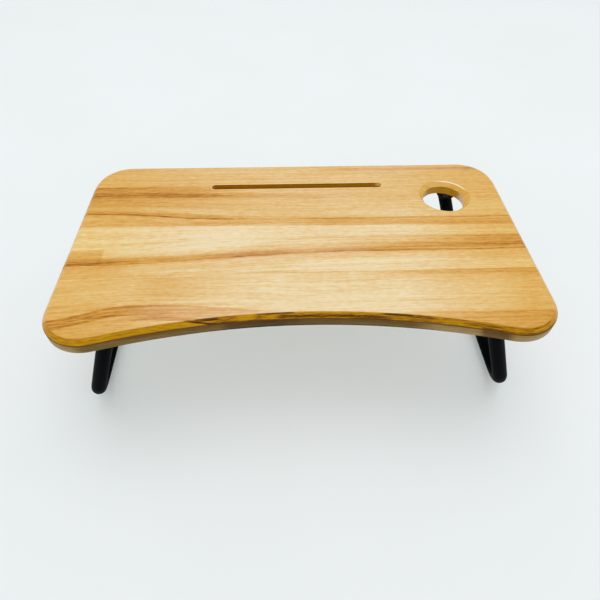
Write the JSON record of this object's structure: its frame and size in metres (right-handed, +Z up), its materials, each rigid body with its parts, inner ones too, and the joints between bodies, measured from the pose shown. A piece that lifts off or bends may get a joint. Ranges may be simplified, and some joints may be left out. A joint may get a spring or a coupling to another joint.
{
  "type": "bed tray table",
  "caption": "Low folding lap table: a wood-look board with a tablet slot and a cup hole, on two leaning black tube legs that fold in under it.",
  "frame": {"origin": "on the floor, under the centre of the board, with both legs open", "axes": "+X along the board's width towards the cup hole's side, +Y from the curved-in front edge to the back edge with the tablet slot, +Z up"},
  "size_m": [0.6192, 0.34, 0.215],
  "materials": {
    "wood_film": "satin printed decor film with a long light wood figure, darker on the bevel",
    "fibreboard": "raw medium density fibreboard",
    "backing": "plain matt balancing sheet",
    "black_tube": "satin black powder coat on steel tube",
    "bracket_plastic": "moulded black plastic, matt",
    "plug_plastic": "moulded black plastic, matt",
    "black_steel": "black oxide on steel",
    "zinc_screw": "bright zinc plate",
    "rubber": "soft matt rubber"
  },
  "bodies": {
    "table_top": {"board_core": "fibreboard", "decor_film": "wood_film", "backing_sheet": "backing", "front_left_hinge_bracket": "bracket_plastic", "front_left_pivot_bolt": "black_steel", "front_left_pivot_nut": "black_steel", "front_left_bracket_screws": "zinc_screw", "rear_left_hinge_bracket": "bracket_plastic", "rear_left_pivot_bolt": "black_steel", "rear_left_pivot_nut": "black_steel", "rear_left_bracket_screws": "zinc_screw", "front_right_hinge_bracket": "bracket_plastic", "front_right_pivot_bolt": "black_steel", "front_right_pivot_nut": "black_steel", "front_right_bracket_screws": "zinc_screw", "rear_right_hinge_bracket": "bracket_plastic", "rear_right_pivot_bolt": "black_steel", "rear_right_pivot_nut": "black_steel", "rear_right_bracket_screws": "zinc_screw"},
    "left_leg": {"left_leg_tube": "black_tube", "front_left_tube_plug": "plug_plastic", "front_left_rubber_foot": "rubber", "rear_left_tube_plug": "plug_plastic", "rear_left_rubber_foot": "rubber"},
    "right_leg": {"right_leg_tube": "black_tube", "front_right_tube_plug": "plug_plastic", "front_right_rubber_foot": "rubber", "rear_right_tube_plug": "plug_plastic", "rear_right_rubber_foot": "rubber"}
  },
  "joints": [
    {"name": "left_leg_fold", "type": "hinge", "parent": "table_top", "child": "left_leg", "pos_m": [-0.2355, 0, 0.18202], "axis": [0, -1, 0], "range_deg": [0, 110.6]},
    {"name": "right_leg_fold", "type": "hinge", "parent": "table_top", "child": "right_leg", "pos_m": [0.2355, 0, 0.18202], "axis": [0, 1, 0], "range_deg": [0, 110.6]}
  ]
}
